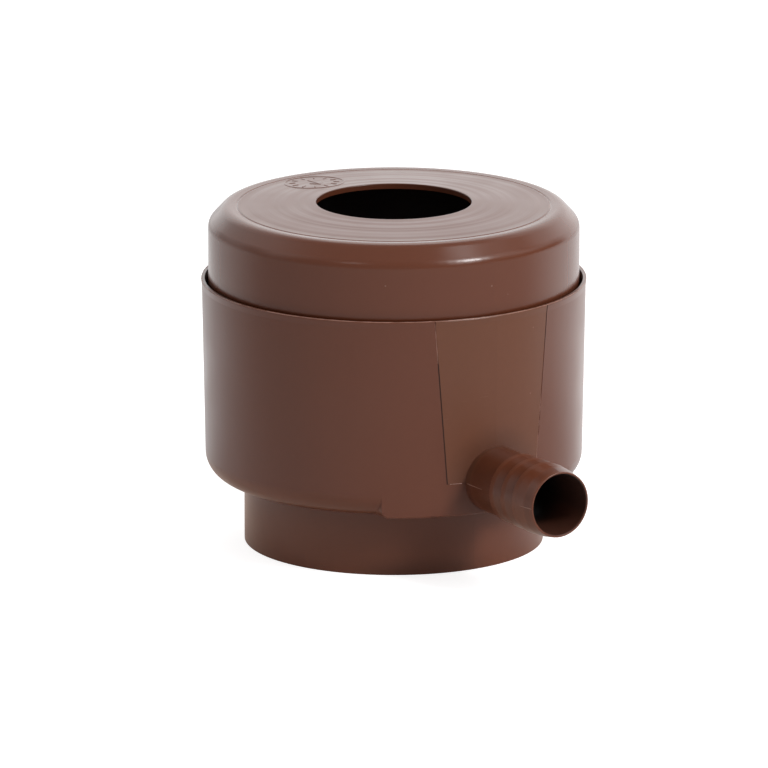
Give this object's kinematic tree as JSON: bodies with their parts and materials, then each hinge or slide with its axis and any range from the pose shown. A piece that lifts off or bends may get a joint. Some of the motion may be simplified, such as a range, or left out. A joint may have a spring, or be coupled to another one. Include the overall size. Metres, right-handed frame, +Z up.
{
  "type": "rainwater diverter",
  "caption": "Round rainwater diverter: a cup-shaped housing with a lower spigot and a barbed hose tail, under a loose bevelled cover with a hole for the downpipe.",
  "frame": {"origin": "centre of the lower spigot's bottom edge", "axes": "+Z up along the downpipe, +X along the hose tail towards its mouth"},
  "size_m": [0.1736, 0.1342, 0.1204],
  "materials": {
    "housing_plastic": "satin brown moulded plastic",
    "cover_plastic": "satin brown moulded plastic with fine turning rings on top"
  },
  "bodies": {
    "root": {"housing": "housing_plastic", "cover": "cover_plastic"}
  },
  "joints": []
}
